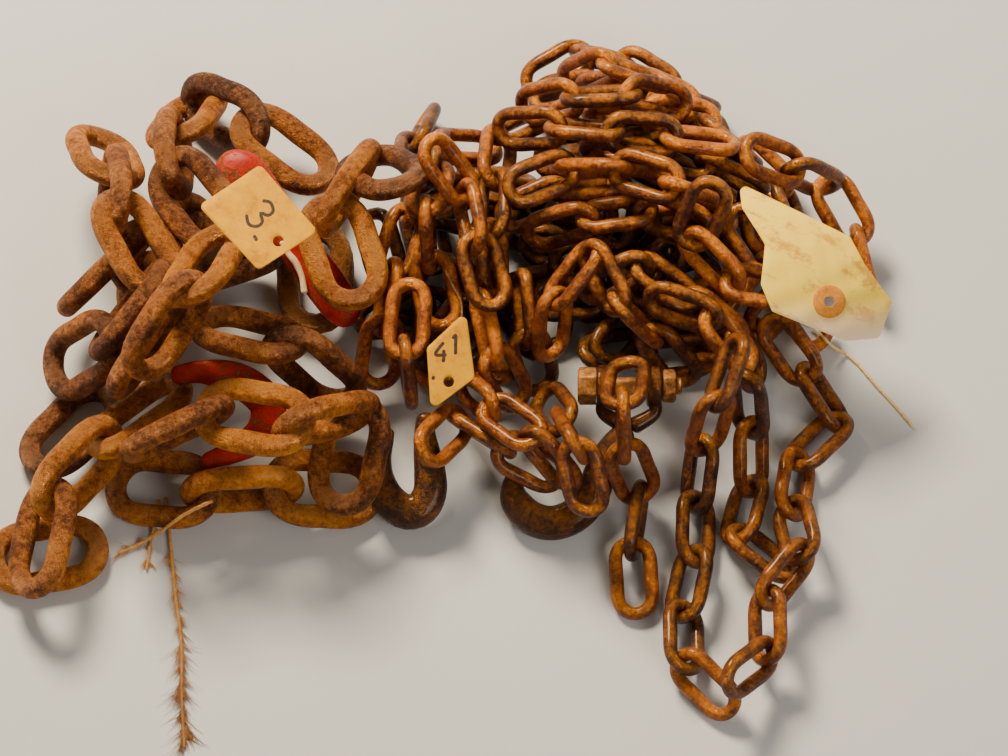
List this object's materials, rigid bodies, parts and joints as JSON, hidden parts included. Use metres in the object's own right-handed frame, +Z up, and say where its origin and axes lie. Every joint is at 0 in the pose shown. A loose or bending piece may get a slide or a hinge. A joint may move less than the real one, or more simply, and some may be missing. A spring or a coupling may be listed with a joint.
{
  "type": "heap of steel lifting chain",
  "caption": "Low heap of rusty steel lifting chain, light and heavy strands tangled together, with hooks, a bolted clevis, plastic and paper tags, and loose twine.",
  "frame": {"origin": "in the core's flat underside, on the floor the heap lies on, under the heap's middle", "axes": "+X right as the heap is seen in front, +Y away from the viewer, +Z up"},
  "size_m": [0.5345, 0.4473, 0.129],
  "materials": {
    "light_steel": "oily dark brown rust",
    "heavy_steel": "dry ochre rust",
    "red_paint": "worn red paint",
    "yellow_plastic": "smooth",
    "white_plastic": "soiled",
    "paper": "matt",
    "patch_card": "matt",
    "twine": "dry fibre"
  },
  "bodies": {
    "root": {"arch": "light_steel", "bar": "light_steel", "clevis_bolt": "heavy_steel", "clevis_hook": "light_steel", "clevis_nut": "heavy_steel", "core": "light_steel", "hang_a": "light_steel", "hang_b": "light_steel", "hang_c": "light_steel", "hang_d": "light_steel", "heavy_bars": "heavy_steel", "heavy_crown": "heavy_steel", "heavy_drop": "heavy_steel", "heavy_end": "heavy_steel", "heavy_foot": "heavy_steel", "heavy_front": "heavy_steel", "heavy_left": "heavy_steel", "heavy_leg": "heavy_steel", "heavy_loop": "heavy_steel", "heavy_mid": "heavy_steel", "heavy_ring": "heavy_steel", "heavy_tail": "heavy_steel", "hook_end_a": "light_steel", "hook_end_b": "light_steel", "hook_end_c": "light_steel", "middle_a": "light_steel", "middle_b": "light_steel", "middle_c": "light_steel", "middle_d": "light_steel", "middle_e": "light_steel", "middle_f": "light_steel", "middle_g": "light_steel", "paper_tag": "paper", "plastic_tie": "white_plastic", "red_hook_lower": "red_paint", "red_hook_upper": "red_paint", "rim": "light_steel", "ring": "light_steel", "row_a": "light_steel", "row_b": "light_steel", "row_c": "light_steel", "row_d": "light_steel", "row_e": "light_steel", "row_f": "light_steel", "row_g": "light_steel", "row_h": "light_steel", "row_j": "light_steel", "row_k": "light_steel", "row_l": "light_steel", "rusty_hook": "light_steel", "shoulder": "light_steel", "tag_patch": "patch_card", "tag_string": "twine", "twine_across": "twine", "twine_long": "twine", "twine_short": "twine", "wire_tie": "twine", "yellow_tag_lower": "yellow_plastic", "yellow_tag_upper": "yellow_plastic"}
  },
  "joints": []
}
